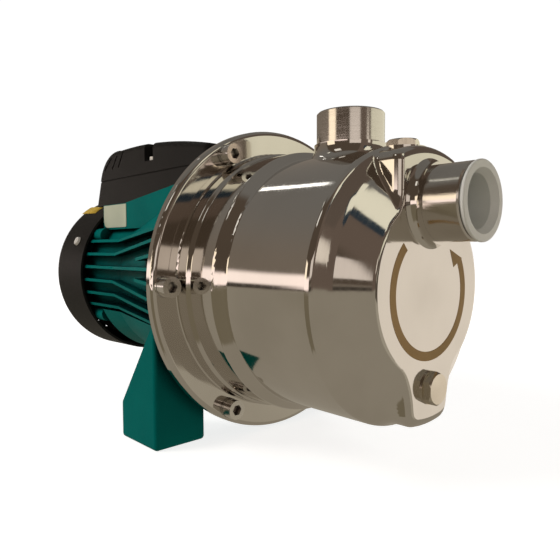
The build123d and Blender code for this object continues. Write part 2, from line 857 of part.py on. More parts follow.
ear_width = 8.6
with BuildPart() as end_shield:
    add(
        turned(
            (shield_back_x, frame_rear_x, 0, barrel_radius),
            (frame_rear_x, frame_rear_x + 4.0, winding_outer + 1.0, frame_bore - fit_gap),
            (shield_back_x, rear_bearing_x, 0, rear_bearing_radius + 4.5),
        )
    )
    for side in lug_angles:
        with BuildSketch(around_shaft(shield_back_x, lug_circle, side)):
            Circle(lug_radius)
        extrude(amount=shield_thickness)
        with BuildSketch(around_shaft(shield_back_x, lug_circle, side)):
            Circle(tie_radius + fit_gap)
        extrude(amount=shield_thickness, mode=Mode.SUBTRACT)
    for side in cover_screw_angles:
        radial = (0, -cos(radians(side)), sin(radians(side)))
        foot_plane = Plane(origin=(shield_back_x, 0, shaft_height), x_dir=radial, z_dir=(1, 0, 0))
        ear_root = barrel_radius - 7.0
        ear_tip = cover_front_radius - cover_wall - running_gap
        with BuildSketch(foot_plane):
            with Locations(((ear_root + ear_tip) / 2, 0)):
                Rectangle(ear_tip - ear_root, ear_width)
        extrude(amount=cover_screw_x - ear_width / 2 - shield_back_x)
        with BuildSketch(outward(ear_tip, cover_screw_x, side)):
            Circle(cover_screw_radius)
        extrude(amount=ear_root - ear_tip, mode=Mode.SUBTRACT)
    with BuildSketch(section):
        ring(frame_rear_x - wave_washer_thickness, rear_bearing_x, 0, rear_bearing_radius)
        ring(shield_back_x, frame_rear_x, 0, fan_seat + 2.0)
    revolve(axis=shaft_axis, mode=Mode.SUBTRACT)
save(end_shield.part, "end_shield")

with BuildPart() as end_shield_screws:
    for side in lug_angles:
        with BuildSketch(around_shaft(shield_back_x, lug_circle, side)):
            Circle(tie_head)
        extrude(amount=-tie_head_height)
        with BuildSketch(around_shaft(shield_back_x, lug_circle, side)):
            Circle(tie_radius)
        extrude(amount=shield_thickness + tie_grip)
save(end_shield_screws.part, "end_shield_screws")

# ---- fan and cover ------------------------------------------------------------
with BuildPart() as fan:
    add(
        turned(
            (fan_back_x, fan_x, fan_seat, 2 * fan_seat),
            (fan_x - fan_disc, fan_x, fan_seat, fan_radius),
        )
    )
    with BuildSketch(Plane.YZ.offset(fan_back_x)):
        with Locations((0, shaft_height)):
            with PolarLocations((fan_radius + 1.5 * fan_seat) / 2, blade_count):
                Rectangle(fan_radius - 1.5 * fan_seat, fan_disc)
    extrude(amount=fan_width)
save(fan.part, "fan")
clip_thickness = 2.0
clip_width = 3.0
save(turned((fan_back_x - clip_thickness, fan_back_x, fan_seat, fan_seat + clip_width)), "fan_clip")

with BuildPart() as fan_cover:
    with BuildSketch(section) as cover_outline:
        with BuildLine():
            Polyline(
                (cover_front_x, 0),
                (cover_front_x, cover_front_radius),
                (cover_rear_x, cover_rear_radius),
                (cover_rear_x, 0),
                close=True,
            )
        make_face()
        fillet(nearest(cover_outline, cover_rear_x, cover_rear_radius), cover_round)
    revolve(axis=shaft_axis)
    with BuildSketch(section) as cover_hollow:
        with BuildLine():
            Polyline(
                (cover_front_x, 0),
                (cover_front_x, cover_front_radius - cover_wall),
                (cover_rear_x + cover_wall, cover_rear_radius - cover_wall),
                (cover_rear_x + cover_wall, 0),
                close=True,
            )
        make_face()
        fillet(
            nearest(cover_hollow, cover_rear_x + cover_wall, cover_rear_radius - cover_wall),
            cover_round - cover_wall,
        )
    revolve(axis=shaft_axis, mode=Mode.SUBTRACT)
    with BuildSketch(Plane.YZ.offset(cover_rear_x - cover_wall)):
        with Locations((0, shaft_height)):
            for radius, length, count in (grille_outer, grille_inner):
                with PolarLocations(radius, count):
                    SlotOverall(length, grille_slot)
    extrude(amount=4 * cover_wall, mode=Mode.SUBTRACT)
    for side in cover_screw_angles:
        with BuildSketch(outward(barrel_radius, cover_screw_x, side)):
            Circle(cover_screw_radius + 2 * fit_gap)
        extrude(amount=cover_rear_radius, mode=Mode.SUBTRACT)
save(fan_cover.part, "fan_cover")

cover_screw_head = 3.8
cover_screw_head_height = 1.8
cover_screw_length = 12.0
cover_share = (cover_front_x - cover_screw_x) / (cover_front_x - cover_rear_x)
cover_screw_seat = cover_front_radius + cover_share * (cover_rear_radius - cover_front_radius)
with BuildPart() as cover_screws:
    for side in cover_screw_angles:
        seat = outward(cover_screw_seat + 3 * fit_gap, cover_screw_x, side)
        with BuildSketch(seat):
            Circle(cover_screw_head)
        extrude(amount=cover_screw_head_height, taper=20)
        with BuildSketch(seat):
            Circle(cover_screw_radius)
        extrude(amount=-cover_screw_length)
save(cover_screws.part, "cover_screws")

slinger_thickness = 2.0
slinger_x = lantern_x + lantern_gap
save(turned((slinger_x, slinger_x + slinger_thickness, wet_shaft, seal_cup_radius)), "slinger")

# ---- seal plate and shaft seal ----------------------------------------------
with BuildPart() as seal_plate:
    add(
        turned_outline(
            [
                (bracket_front_x, plate_rim),
                (plate_front_x, plate_rim),
                (plate_front_x, plate_recess - 2 * sheet),
                (plate_back_x + sheet, plate_recess - 2 * sheet),
                (plate_back_x + sheet, seal_cup_radius),
                (seal_cup_x, seal_cup_radius),
                (seal_cup_x, wet_shaft + 2.5),
                (seal_cup_x - sheet, wet_shaft + 2.5),
                (seal_cup_x - sheet, seal_cup_radius + sheet),
                (plate_back_x, seal_cup_radius + sheet),
                (plate_back_x, plate_recess - running_gap),
                (bracket_front_x, plate_recess - running_gap),
            ]
        )
    )
    for angle in screw_angles:
        with BuildSketch(around_shaft(plate_front_x, screw_circle, angle)):
            Circle(screw_radius + screw_play)
        extrude(amount=-2 * sheet, mode=Mode.SUBTRACT)
save(seal_plate.part, "seal_plate")

o_ring_x = plate_front_x + o_ring_section
o_ring_radius = neck_radius - sheet - o_ring_section
with BuildPart() as body_o_ring:
    with BuildSketch(section):
        with Locations((o_ring_x, o_ring_radius)):
            Circle(o_ring_section - fit_gap)
    revolve(axis=shaft_axis)
save(body_o_ring.part, "body_o_ring")

save(
    turned(
        (seal_cup_x, seal_face_x - 2.0, seal_face_radius + 0.5, seal_cup_radius),
        (seal_cup_x, seal_cup_x + 2.0, wet_shaft + 1.5, seal_cup_radius),
    ),
    "seal_seat_boot",
)
save(
    turned((seal_cup_x + 2.0, seal_face_x, wet_shaft + 1.0, seal_face_radius + 0.5)), "seal_seat"
)
save(
    turned((seal_face_x + fit_gap, seal_face_x + 4.0, wet_shaft + 0.5, seal_face_radius)),
    "seal_ring",
)
seal_back_x = seal_face_x + 4.0
with BuildPart() as seal_bellows:
    add(turned((seal_back_x, impeller_x, wet_shaft, seal_face_radius - 1.0)))
    add(
        turned(
            *[
                (seal_back_x + 4.0 * k, seal_back_x + 4.0 * k + 2.0, wet_shaft, seal_face_radius + 1.0)
                for k in range(int((impeller_x - seal_back_x) / 4.0))
            ]
        )
    )
save(seal_bellows.part, "seal_bellows")

# ---- impeller, diffuser and ejector -----------------------------------------
eye_radius = impeller_eye + impeller_disc
hub_radius = 12.0
with BuildPart() as impeller:
    add(
        turned(
            (impeller_x, shaft_thread_x + 0.2, wet_shaft, hub_radius),
            (impeller_disc_x, impeller_disc_x + impeller_disc, wet_shaft, impeller_radius),
            (impeller_front_x - impeller_disc, impeller_front_x, impeller_eye, impeller_radius),
            (impeller_front_x, impeller_front_x + 4.0, impeller_eye, eye_radius),
        )
    )
    with BuildSketch(Plane.YZ.offset(impeller_disc_x)):
        for k in range(impeller_vanes):
            turn = 360 * k / impeller_vanes
            with BuildLine() as vane:
                ThreePointArc(
                    *[
                        (
                            radius * cos(radians(turn + swing)),
                            shaft_height + radius * sin(radians(turn + swing)),
                        )
                        for radius, swing in (
                            (impeller_eye + 2.0, 0.0),
                            (impeller_radius * 0.62, -32.0),
                            (impeller_radius - 1.0, -78.0),
                        )
                    ]
                )
            trace(vane.edges(), impeller_disc)
    extrude(amount=impeller_width)
    with BuildSketch(Plane.XY.offset(shaft_height)):
        with Locations((key_x + key_length / 2, 0)):
            Rectangle(key_length, key_width)
    extrude(amount=wet_shaft + key_width / 2, mode=Mode.SUBTRACT)
save(impeller.part, "impeller")

nut_x = shaft_thread_x + 0.2
nut_hex = 17.0
nut_height = 8.0
with BuildPart() as impeller_nut:
    with BuildSketch(around_shaft(nut_x, 0, 0)):
        RegularPolygon(nut_hex / 2, 6, major_radius=False)
        Circle(thread_radius, mode=Mode.SUBTRACT)
    extrude(amount=nut_height)
save(impeller_nut.part, "impeller_nut")

neck_x = diffuser_front_x + diffuser_wall
neck_front_x = neck_x + diffuser_neck
neck_bore = 16.0
vane_length = 13.0
vane_thickness = 2.0
vane_turn = 50
return_slot = (16.0, 7.0)
groove_wall = 0.4
with BuildPart() as diffuser:
    add(
        turned(
            (
                plate_front_x,
                plate_front_x + 3.0,
                diffuser_radius - 4.0,
                o_ring_radius - o_ring_section - groove_wall,
            ),
            (plate_front_x, neck_x, diffuser_radius - diffuser_wall, diffuser_radius),
            (diffuser_front_x, neck_x, eye_radius + running_gap, diffuser_radius),
            (neck_x, neck_front_x, neck_bore, neck_bore + diffuser_wall),
        )
    )
    with BuildSketch(Plane.YZ.offset(impeller_disc_x)):
        with Locations((0, shaft_height)):
            with PolarLocations((impeller_radius + diffuser_radius) / 2 + 0.3, diffuser_vanes):
                with Locations(Rotation(0, 0, vane_turn)):
                    Rectangle(vane_length, vane_thickness)
    extrude(amount=diffuser_front_x + 0.5 - impeller_disc_x)
    with BuildSketch(Plane.YZ.offset(diffuser_front_x)):
        with Locations((0, shaft_height)):
            with PolarLocations(impeller_radius + 3.0, diffuser_vanes, start_angle=18):
                SlotOverall(*return_slot, rotation=90)
    extrude(amount=diffuser_wall, mode=Mode.SUBTRACT)
save(diffuser.part, "diffuser")

venturi_front_x = neck_x + venturi_length
tube_front = venturi_throat + 3.5
seal_groove_x = neck_x + diffuser_neck / 2
with BuildPart() as venturi_tube:
    add(
        turned_outline(
            [
                (neck_x + 0.1, venturi_exit),
                (neck_x + 0.1, neck_bore - fit_gap),
                (seal_groove_x - 1.0, neck_bore - fit_gap),
                (seal_groove_x - 1.0, neck_bore - 1.6),
                (seal_groove_x + 1.0, neck_bore - 1.6),
                (seal_groove_x + 1.0, neck_bore - fit_gap),
                (neck_front_x, neck_bore - fit_gap),
                (neck_front_x, neck_bore + 1.5),
                (neck_front_x + 3.0, neck_bore + 1.5),
                (neck_front_x + 3.0, neck_bore - 1.0),
                (venturi_front_x - 12.0, tube_front),
                (venturi_front_x, tube_front),
                (venturi_front_x, venturi_throat + 1.5),
                (venturi_front_x - 8.0, venturi_throat),
            ]
        )
    )
save(venturi_tube.part, "venturi_tube")
with BuildPart() as venturi_o_ring:
    with BuildSketch(section):
        with Locations((seal_groove_x, neck_bore - 0.8)):
            Circle(0.75)
    revolve(axis=shaft_axis)
save(venturi_o_ring.part, "venturi_o_ring")

ejector_x = venturi_front_x - 8.0
ejector_front_x = ejector_x + ejector_length
elbow_x = ejector_x + ejector_length / 2
spigot_end_x = nose_x - sheet - 2.3
spigot_bore = ejector_spigot - ejector_wall
nozzle_seat = 9.0
elbow_plane = Plane(origin=(elbow_x, 0, shaft_height), x_dir=(1, 0, 0), z_dir=(0, 0, 1))
spigot_plane = Plane(
    origin=(elbow_x, 0, shaft_height + suction_height), x_dir=(0, 1, 0), z_dir=(1, 0, 0)
)

with BuildPart() as ejector_housing:
    add(turned((ejector_x, ejector_front_x, 0, ejector_radius)))
    with BuildSketch(elbow_plane):
        Circle(ejector_spigot)
    extrude(amount=suction_height)
    with Locations(spigot_plane):
        Sphere(ejector_spigot)
    with BuildSketch(spigot_plane):
        Circle(ejector_spigot)
    extrude(amount=spigot_end_x - elbow_x)
    add(
        turned(
            (
                ejector_x + 2 * ejector_wall,
                ejector_front_x - ejector_wall,
                0,
                ejector_radius - ejector_wall,
            )
        ),
        mode=Mode.SUBTRACT,
    )
    with BuildSketch(elbow_plane):
        Circle(spigot_bore)
    extrude(amount=suction_height, mode=Mode.SUBTRACT)
    with Locations(spigot_plane):
        Sphere(spigot_bore, mode=Mode.SUBTRACT)
    with BuildSketch(spigot_plane):
        Circle(spigot_bore)
    extrude(amount=spigot_end_x - elbow_x, mode=Mode.SUBTRACT)
    with BuildSketch(section):
        ring(ejector_x, elbow_x, 0, tube_front + fit_gap)
        ring(elbow_x, ejector_front_x, 0, nozzle_seat)
    revolve(axis=shaft_axis, mode=Mode.SUBTRACT)
save(ejector_housing.part, "ejector_housing")

with BuildPart() as ejector_o_ring:
    gap = nose_x - sheet - spigot_end_x
    with BuildSketch(
        Plane(
            origin=(0, 0, shaft_height + suction_height), x_dir=(1, 0, 0), z_dir=(0, -1, 0)
        )
    ):
        with Locations((spigot_end_x + gap / 2, ejector_spigot - ejector_wall / 2)):
            Circle(gap / 2 - fit_gap / 2)
    revolve(axis=Axis((0, 0, shaft_height + suction_height), (1, 0, 0)))
save(ejector_o_ring.part, "ejector_o_ring")

nozzle_flange_x = ejector_front_x + fit_gap
nozzle_tip_x = nozzle_flange_x + 4.0 - nozzle_length
nozzle_bore = nozzle_tip - 2.0
save(
    turned_outline(
        [
            (nozzle_tip_x, nozzle_bore),
            (nozzle_tip_x, nozzle_tip),
            (ejector_front_x - 2 * ejector_wall, nozzle_seat - fit_gap),
            (nozzle_flange_x, nozzle_seat - fit_gap),
            (nozzle_flange_x, nozzle_seat + 3.5),
            (nozzle_flange_x + 4.0, nozzle_seat + 3.5),
            (nozzle_flange_x + 4.0, nozzle_seat - 2.5),
            (nozzle_flange_x - 4.0, nozzle_seat - 2.5),
        ]
    ),
    "ejector_nozzle",
)

# ---- terminal box -------------------------------------------------------------
box_length = box_front_x - box_seam_rear_x
box_middle_x = (box_front_x + box_seam_rear_x) / 2
gland_plane = Plane(
    origin=(gland_x, box_half_width, shaft_height + gland_height), x_dir=(1, 0, 0), z_dir=(0, 1, 0)
)
gasket_low = shaft_height + box_seam - gasket / 2
floor_slope = (pad_front_high - box_floor) / (box_front_x - pad_rise_x)
lid_posts = ((lid_screw_x, lid_screw_y), (lid_screw_x, -lid_screw_y))


def box_form(inset):
    """The lower half's outer form, drawn in by inset at the walls and floor."""
    with BuildPart() as form:
        with BuildSketch(section):
            with BuildLine():
                Polyline(
                    (box_rear_x + inset, box_floor + inset),
                    (pad_rise_x, box_floor + inset),
                    (box_front_x - inset, pad_front_high + inset),
                    (box_front_x - inset, gasket_low - shaft_height),
                    (box_seam_rear_x + inset, gasket_low - shaft_height),
                    close=True,
                )
            make_face()
        extrude(amount=box_half_width - inset, both=True)
        corners = [
            edge
            for edge in form.edges()
            if abs(edge.center().Y) > box_half_width - inset - fit_gap
            and (edge.center().X < box_seam_rear_x + inset or edge.center().X > box_front_x - inset - 0.1)
        ]
        fillet(corners, box_corner - inset)
        add(
            turned((box_rear_x, box_arch_x + inset, 0, box_arch_radius + inset)), mode=Mode.SUBTRACT
        )
    return form.part


with BuildPart() as terminal_box_base:
    add(box_form(0))
    add(box_form(box_wall), mode=Mode.SUBTRACT)
    with BuildSketch(Plane.XY.offset(gasket_low)):
        with Locations(*lid_posts):
            Circle(lid_post)
    extrude(until=Until.NEXT, dir=(0, 0, -1))
    with BuildSketch(Plane.XY.offset(gasket_low)):
        with Locations(*lid_posts):
            Circle(lid_screw_radius)
    extrude(amount=-14.0, mode=Mode.SUBTRACT)
    for cradle in (0.2, 0.8):
        cradle_x = capacitor_front_x - cradle * capacitor_length
        floor_rise = floor_slope * (cradle_x + box_wall - pad_rise_x)
        with BuildSketch(Plane.YZ.offset(cradle_x)):
            with Locations((0, shaft_height + box_floor + floor_rise + box_wall / 2)):
                Rectangle(1.6 * capacitor_radius, 14.0, align=(Align.CENTER, Align.MIN))
            with Locations((0, shaft_height + capacitor_level)):
                Circle(capacitor_radius + 2 * fit_gap, mode=Mode.SUBTRACT)
        extrude(amount=box_wall)
    with BuildSketch(Plane.XY.offset(shaft_height)):
        with Locations((box_screw_x, box_screw_y), (box_screw_x, -box_screw_y)):
            Circle(box_screw_radius + screw_play)
        with Locations((wiring_x, 0)):
            Circle(wiring_radius)
    extrude(amount=box_floor + box_wall, mode=Mode.SUBTRACT)
    with BuildSketch(gland_plane):
        Circle(gland_radius + fit_gap)
    extrude(amount=-2 * box_wall, mode=Mode.SUBTRACT)
save(terminal_box_base.part, "terminal_box_base")

with BuildPart() as terminal_box_gasket:
    with BuildSketch(Plane.XY.offset(gasket_low)):
        with Locations((box_middle_x, 0)):
            RectangleRounded(box_length - 1.0, 2 * box_half_width - 1.0, box_corner - 0.5)
            RectangleRounded(
                box_length - 2 * box_wall - 1.0,
                2 * (box_half_width - box_wall) - 1.0,
                box_corner - box_wall,
                mode=Mode.SUBTRACT,
            )
    extrude(amount=gasket)
save(terminal_box_gasket.part, "terminal_box_gasket")


def lid_form(inset):
    """The lid's outer form, drawn in by inset at the walls and roof."""
    with BuildPart() as form:
        with BuildSketch(section) as side_view:
            with BuildLine():
                Polyline(
                    (box_seam_rear_x, box_seam + gasket / 2),
                    (box_seam_rear_x, 0),
                    (box_front_x, 0),
                    (box_front_x, lid_front),
                )
                ThreePointArc((box_front_x, lid_front), lid_middle, lid_crown)
                ThreePointArc(lid_crown, lid_shoulder, (box_seam_rear_x, box_seam + gasket / 2))
            make_face()
            fillet(nearest(side_view, box_front_x, lid_front), 3.0)
            if inset:
                offset(amount=-inset, mode=Mode.REPLACE)
        extrude(amount=box_half_width - inset, both=True)
        roof = [
            edge
            for edge in form.edges()
            if abs(edge.center().Y) > box_half_width - inset - fit_gap
            and edge.center().Z > shaft_height + box_seam
            and edge.geom_type != GeomType.LINE
            and edge.length > box_corner
        ]
        fillet(roof, box_edge - inset)
        with BuildSketch(Plane.XY.offset(gasket_low + gasket - inset)):
            with Locations((box_middle_x, 0)):
                RectangleRounded(
                    box_length - 2 * inset, 2 * (box_half_width - inset), box_corner - inset
                )
        extrude(amount=box_half_width, mode=Mode.INTERSECT)
    return form.part


with BuildPart() as lid_hollow:
    add(lid_form(box_wall))
    with BuildSketch(Plane.XY.offset(gasket_low)):
        for x, y in lid_posts:
            with Locations((x, copysign(box_half_width, y))):
                Rectangle(
                    lid_pocket + 2 * box_wall,
                    2 * (box_half_width - lid_screw_y + lid_post + box_wall),
                )
    extrude(amount=box_half_width, mode=Mode.SUBTRACT)

with BuildPart() as terminal_box_lid:
    add(lid_form(0))
    add(lid_hollow.part, mode=Mode.SUBTRACT)
    with BuildSketch(Plane.XY.offset(shaft_height + lid_screw_level)):
        for x, y in lid_posts:
            with Locations((x, copysign(box_half_width, y))):
                Rectangle(lid_pocket, 2 * (box_half_width - lid_screw_y + lid_post))
    extrude(amount=box_half_width, mode=Mode.SUBTRACT)
    with BuildSketch(Plane.XY.offset(gasket_low)):
        with Locations(*lid_posts):
            Circle(lid_screw_radius + screw_play)
    extrude(amount=box_half_width, mode=Mode.SUBTRACT)
    for side in (1, -1):
        with BuildSketch(section.offset(side * box_half_width)):
            for low, high in lid_grooves:
                with BuildLine() as mark:
                    Line(low, high)
                trace(mark.edges(), groove)
        extrude(amount=groove, both=True, mode=Mode.SUBTRACT)
save(terminal_box_lid.part, "terminal_box_lid")

lid_seat = shaft_height + lid_screw_level
with BuildPart() as lid_screws:
    with BuildSketch(Plane.XY.offset(lid_seat)):
        with Locations(*lid_posts):
            Circle(lid_screw_head)
    extrude(amount=3.0)
    with BuildSketch(Plane.XY.offset(lid_seat + 3.0)):
        with Locations(*lid_posts):
            Rectangle(5.0, 0.9)
            Rectangle(0.9, 5.0)
    extrude(amount=-1.5, mode=Mode.SUBTRACT)
    with BuildSketch(Plane.XY.offset(lid_seat)):
        with Locations(*lid_posts):
            Circle(lid_screw_radius)
    extrude(amount=gasket_low - 12.0 - lid_seat)
save(lid_screws.part, "lid_screws")

box_inside = shaft_height + box_floor + box_wall
block_length, block_width, block_height = terminal_block_size
block_x = pad_rise_x - block_length / 2 - 0.5
with BuildPart() as terminal_block:
    with BuildSketch(Plane.XY.offset(box_inside)):
        with Locations((block_x, 0)):
            Rectangle(block_length, block_width)
    extrude(amount=block_height)
    with BuildSketch(Plane.XY.offset(box_inside + block_height)):
        with GridLocations(0, block_width / 6, 1, 6):
            with Locations((block_x, 0)):
                Rectangle(block_length - 2 * box_wall, 5.0)
    extrude(amount=-block_height / 2, mode=Mode.SUBTRACT)
save(terminal_block.part, "terminal_block")

capacitor_plane = Plane(
    origin=(capacitor_front_x - capacitor_length, 0, shaft_height + capacitor_level),
    x_dir=(0, 1, 0),
    z_dir=(1, 0, 0),
)
with BuildPart() as capacitor:
    with BuildSketch(capacitor_plane):
        Circle(capacitor_radius)
    extrude(amount=capacitor_length)
    fillet(capacitor.edges().filter_by(GeomType.CIRCLE), 1.5)
save(capacitor.part, "capacitor")

with BuildPart() as box_screws:
    places = ((box_screw_x, box_screw_y), (box_screw_x, -box_screw_y))
    with BuildSketch(Plane.XY.offset(box_inside)):
        with Locations(*places):
            Circle(box_screw_head)
            Rectangle(5.0, 0.9, mode=Mode.SUBTRACT)
    extrude(amount=3.0)
    with BuildSketch(Plane.XY.offset(box_inside)):
        with Locations(*places):
            Circle(box_screw_radius)
    extrude(amount=-12.0)
save(box_screws.part, "box_screws")

winding_top = shaft_height + (winding_outer + winding_inner) / 2
with BuildPart() as winding_leads:
    with BuildSketch(Plane.XY.offset(box_inside)):
        with Locations((wiring_x, -4.0), (wiring_x, 0), (wiring_x, 4.0)):
            Circle(1.25)
    extrude(amount=winding_top - box_inside)
    with BuildSketch(Plane.YZ.offset(wiring_x)):
        with Locations((-4.0, winding_top), (0, winding_top), (4.0, winding_top)):
            Circle(1.25)
    extrude(amount=stator_rear_x - winding_length - wiring_x)
    with Locations((wiring_x, -4.0, winding_top), (wiring_x, 0, winding_top), (wiring_x, 4.0, winding_top)):
        Sphere(1.25)
save(winding_leads.part, "winding_leads")

# ---- cable gland --------------------------------------------------------------
gland_flat = 5.0
gland_end = 15.0
gland_grip = 9.0
with BuildPart() as gland_body:
    with BuildSketch(gland_plane.offset(-box_wall - 6.0)):
        Circle(gland_radius)
    extrude(amount=box_wall + 6.0 + gland_end)
    with BuildSketch(gland_plane):
        RegularPolygon(gland_hex / 2, 6, major_radius=False)
    extrude(amount=gland_flat)
    with BuildSketch(gland_plane.offset(gland_end)):
        Circle(gland_bore)
    extrude(amount=-3 * gland_end, mode=Mode.SUBTRACT)
    with BuildSketch(gland_plane.offset(gland_end)):
        Circle(gland_socket)
    extrude(amount=-gland_grip, mode=Mode.SUBTRACT)
save(gland_body.part, "gland_body")

with BuildPart() as gland_seal:
    with BuildSketch(gland_plane.offset(gland_end)):
        Circle(gland_socket)
        Circle(cable_radius, mode=Mode.SUBTRACT)
    extrude(amount=-gland_grip)
save(gland_seal.part, "gland_seal")

with BuildPart() as gland_cap:
    with BuildSketch(gland_plane.offset(gland_flat + 0.3)):
        Circle(gland_cap_radius)
    extrude(amount=gland_end - gland_flat + 3.0)
    fillet(gland_cap.edges().sort_by(Axis.Y)[-1], 2.0)
    with BuildSketch(gland_plane.offset(gland_flat)):
        Circle(gland_radius + fit_gap)
    extrude(amount=gland_end - gland_flat + fit_gap, mode=Mode.SUBTRACT)
    with BuildSketch(gland_plane):
        Circle(gland_bore)
    extrude(amount=2 * gland_end, mode=Mode.SUBTRACT)
save(gland_cap.part, "gland_cap")

with BuildPart() as gland_locknut:
    with BuildSketch(gland_plane.offset(-box_wall)):
        RegularPolygon(gland_nut_hex / 2, 6, major_radius=False)
        Circle(gland_radius, mode=Mode.SUBTRACT)
    extrude(amount=-4.0)
save(gland_locknut.part, "gland_locknut")

# ---- bare plates ----------------------------------------------------------------
with BuildPart() as rating_plate:
    with BuildSketch(section.offset(pad_half_width)) as plate_shape:
        with Locations(((rating_rear_x + rating_front_x) / 2, (rating_low + rating_high) / 2)):
            Rectangle(rating_front_x - rating_rear_x, rating_high - rating_low)
        fillet(nearest(plate_shape, rating_rear_x, rating_low), 6.0)
        fillet(nearest(plate_shape, rating_front_x, rating_low), 1.5)
    extrude(amount=plate_thickness)
save(rating_plate.part, "rating_plate")
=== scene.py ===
import math

import bmesh
import bpy
from mathutils import Matrix, Vector


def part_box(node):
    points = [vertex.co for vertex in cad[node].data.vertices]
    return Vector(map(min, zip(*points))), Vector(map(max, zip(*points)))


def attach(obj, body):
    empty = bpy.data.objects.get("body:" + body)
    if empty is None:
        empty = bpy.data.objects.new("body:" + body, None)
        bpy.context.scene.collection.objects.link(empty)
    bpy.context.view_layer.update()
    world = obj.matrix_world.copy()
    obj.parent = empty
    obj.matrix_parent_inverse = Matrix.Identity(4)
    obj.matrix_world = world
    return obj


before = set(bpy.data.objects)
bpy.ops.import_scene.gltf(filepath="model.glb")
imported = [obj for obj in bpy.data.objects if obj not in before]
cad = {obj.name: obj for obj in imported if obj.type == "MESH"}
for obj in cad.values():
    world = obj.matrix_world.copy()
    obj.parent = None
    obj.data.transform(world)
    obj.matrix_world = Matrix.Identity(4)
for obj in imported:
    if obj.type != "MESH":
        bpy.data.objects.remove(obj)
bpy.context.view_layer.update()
scene = bpy.context.scene
print("frame loaded with", len(cad), "nodes")


def mid(name):
    low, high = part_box(name)
    return (Vector(low) + Vector(high)) / 2


shaftHeight = mid("shaft").z
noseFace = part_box("drain_washer")[0][0]

# materials

# edges of the smooth steps that turn noise and shade into a mix
edges = {
    "metalCloud": (0.35, 0.7),
    "paintCloud": (0.3, 0.75),
    "brush": (0.2, 0.8),
    "grain": (0.25, 0.75),
    "corner": (0.25, 0.9),
}
cornerSamples = 6


class Graph:
    # small helper around a node tree
    def __init__(self, tree):
        self.tree = tree
        tree.nodes.clear()

    def node(self, kind, links=None, **values):
        made = self.tree.nodes.new(kind)
        for key, value in values.items():
            setattr(made, key, value)
        for key, value in (links or {}).items():
            socket = made.inputs[key]
            if isinstance(value, bpy.types.NodeSocket):
                self.tree.links.new(value, socket)
            else:
                socket.default_value = value
        return made

    def math(self, operation, a, b):
        return self.node("ShaderNodeMath", {0: a, 1: b}, operation=operation).outputs[0]

    def step(self, value, low, high, start=0.0, end=1.0):
        # smooth change from start to end while value goes from low to high
        made = self.node(
            "ShaderNodeMapRange",
            {0: value, 1: low, 2: high, 3: start, 4: end},
            interpolation_type="SMOOTHSTEP",
        )
        return made.outputs[0]

    def noise(self, where, scale, detail, rough=0.5):
        made = self.node(
            "ShaderNodeTexNoise",
            {"Vector": where, "Scale": scale, "Detail": detail, "Roughness": rough},
        )
        return made.outputs["Fac"]

    def mix(self, factor, a, b):
        made = self.node("ShaderNodeMix", {0: factor, 6: a, 7: b}, data_type="RGBA")
        return made.outputs[2]

    def bump(self, height, distance, normal=None):
        links = {"Height": height, "Distance": distance, "Strength": 1.0}
        if normal is not None:
            links["Normal"] = normal
        return self.node("ShaderNodeBump", links).outputs[0]


def rgba(color):
    return (*color, 1.0)


def newMaterial(name):
    made = bpy.data.materials.new(name)
    made.use_nodes = True
    return made, Graph(made.node_tree)


def finishMaterial(graph, links, **plain):
    shader = graph.node("ShaderNodeBsdfPrincipled", {**plain, **links})
    graph.node("ShaderNodeOutputMaterial", {0: shader.outputs[0]})


def paintedCornerShade(graph, tint, look):
    # painted shade: the colour darkens towards the corner colour where faces meet, within the reach
    # given in metres
    if "cornerReach" not in look:
        return tint
    shade = graph.node(
        "ShaderNodeAmbientOcclusion", {"Distance": look["cornerReach"]}, samples=cornerSamples
    )
    openness = graph.step(shade.outputs["AO"], *edges["corner"])
    return graph.mix(openness, rgba(look["corner"]), tint)


def metal(name, look):
    # tint varies with a wide noise, brush marks run along the chosen axis
    made, g = newMaterial(name)
    place = g.node("ShaderNodeTexCoord").outputs["Object"]
    stretch = g.node("ShaderNodeMapping", {"Vector": place, "Scale": look["brushScale"]}).outputs[0]
    wide = g.noise(place, look["cloud"], 3.0)
    brush = g.noise(stretch, look["brush"], 4.0, 0.6)
    tint = g.mix(g.step(wide, *edges["metalCloud"]), rgba(look["color"]), rgba(look["darker"]))
    tint = paintedCornerShade(g, tint, look)
    rough = g.step(brush, *edges["brush"], look["rough"], look["rough"] + look["roughSpread"])
    ripple = g.bump(g.noise(place, look["ripple"], 1.0), look["rippleDepth"])
    normal = g.bump(brush, look["brushDepth"], ripple)
    links = {"Base Color": tint, "Roughness": rough, "Normal": normal}
    finishMaterial(g, links, Metallic=look.get("metallic", 1.0))
    return made


def coating(name, look):
    # paint, plastic or rubber with a fine grain and slight mottling
    made, g = newMaterial(name)
    place = g.node("ShaderNodeTexCoord").outputs["Object"]
    wide = g.noise(place, look["cloud"], 4.0)
    grain = g.noise(place, look["grain"], 3.0, 0.6)
    tint = g.mix(g.step(wide, *edges["paintCloud"]), rgba(look["color"]), rgba(look["darker"]))
    tint = paintedCornerShade(g, tint, look)
    rough = g.step(grain, *edges["grain"], look["rough"], look["rough"] + look["roughSpread"])
    normal = g.bump(grain, look["grainDepth"])
    links = {"Base Color": tint, "Roughness": rough, "Normal": normal}
    fixed = ("Coat Weight", "Coat Roughness", "Metallic", "Specular IOR Level")
    plain = {key: look[key] for key in fixed if key in look}
    finishMaterial(g, links, **plain)
    return made


